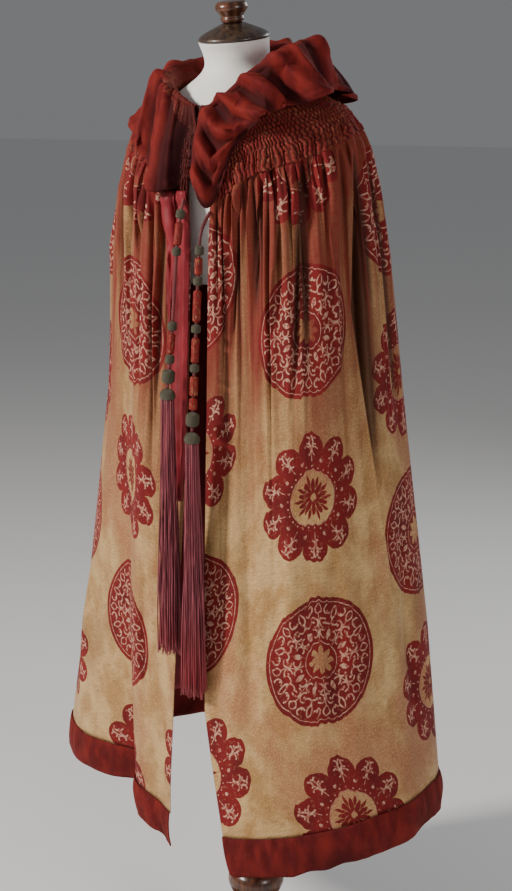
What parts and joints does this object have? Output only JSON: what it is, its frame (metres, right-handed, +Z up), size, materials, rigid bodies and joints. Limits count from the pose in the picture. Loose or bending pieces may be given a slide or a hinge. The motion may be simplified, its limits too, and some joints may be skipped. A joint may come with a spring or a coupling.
{
  "type": "opera cape on a dress form",
  "caption": "Long gathered evening cape with a shirred yoke, rolled velvet collar, hem band and knotted tasselled ties, on a turned dress form stand.",
  "frame": {"origin": "centre of the flat underside of the stand's round base, on the floor, on the pole's axis", "axes": "+Z up along the pole; the cape's front faces -Y, and the wearer's left is +X"},
  "size_m": [0.755, 0.53, 1.7173],
  "materials": {
    "printed_cloth": "gold printed silk with a soft metallic sheen",
    "shirred_cloth": "crimson and gold silk, finely gathered, soft",
    "crimson_velvet": "silk velvet, soft nap",
    "rose_silk": "plain silk, satin",
    "tie_cord": "twisted silk cord, satin",
    "knot_thread": "tarnished wrapped thread, matte",
    "padded_silk": "wrapped silk, satin",
    "white_linen": "smooth stretched linen, matte",
    "dark_wood": "dark stained wood, satin",
    "brown_wood": "turned polished wood, gloss"
  },
  "bodies": {
    "root": {"base": "brown_wood", "body_back_left": "printed_cloth", "body_back_right": "printed_cloth", "body_front_left": "printed_cloth", "body_front_right": "printed_cloth", "collar": "crimson_velvet", "cord_left": "tie_cord", "cord_right": "tie_cord", "dress_form": "white_linen", "facing_right": "rose_silk", "finial": "brown_wood", "hem_band_back_left": "crimson_velvet", "hem_band_back_right": "crimson_velvet", "hem_band_front_left": "crimson_velvet", "hem_band_front_right": "crimson_velvet", "knot_left_1": "knot_thread", "knot_left_2": "knot_thread", "knot_left_3": "knot_thread", "knot_left_4": "knot_thread", "knot_left_5": "knot_thread", "knot_right_1": "knot_thread", "knot_right_2": "knot_thread", "knot_right_3": "knot_thread", "knot_right_4": "knot_thread", "knot_right_5": "knot_thread", "neck_cap": "dark_wood", "pad_left_1": "padded_silk", "pad_left_2": "padded_silk", "pad_left_3": "padded_silk", "pad_left_4": "padded_silk", "pad_left_5": "padded_silk", "pad_right_1": "padded_silk", "pad_right_2": "padded_silk", "pole": "brown_wood", "tassel_left": "tie_cord", "tassel_right": "tie_cord", "yoke_back_left": "shirred_cloth", "yoke_back_right": "shirred_cloth", "yoke_front_left": "shirred_cloth", "yoke_front_right": "shirred_cloth"}
  },
  "joints": []
}
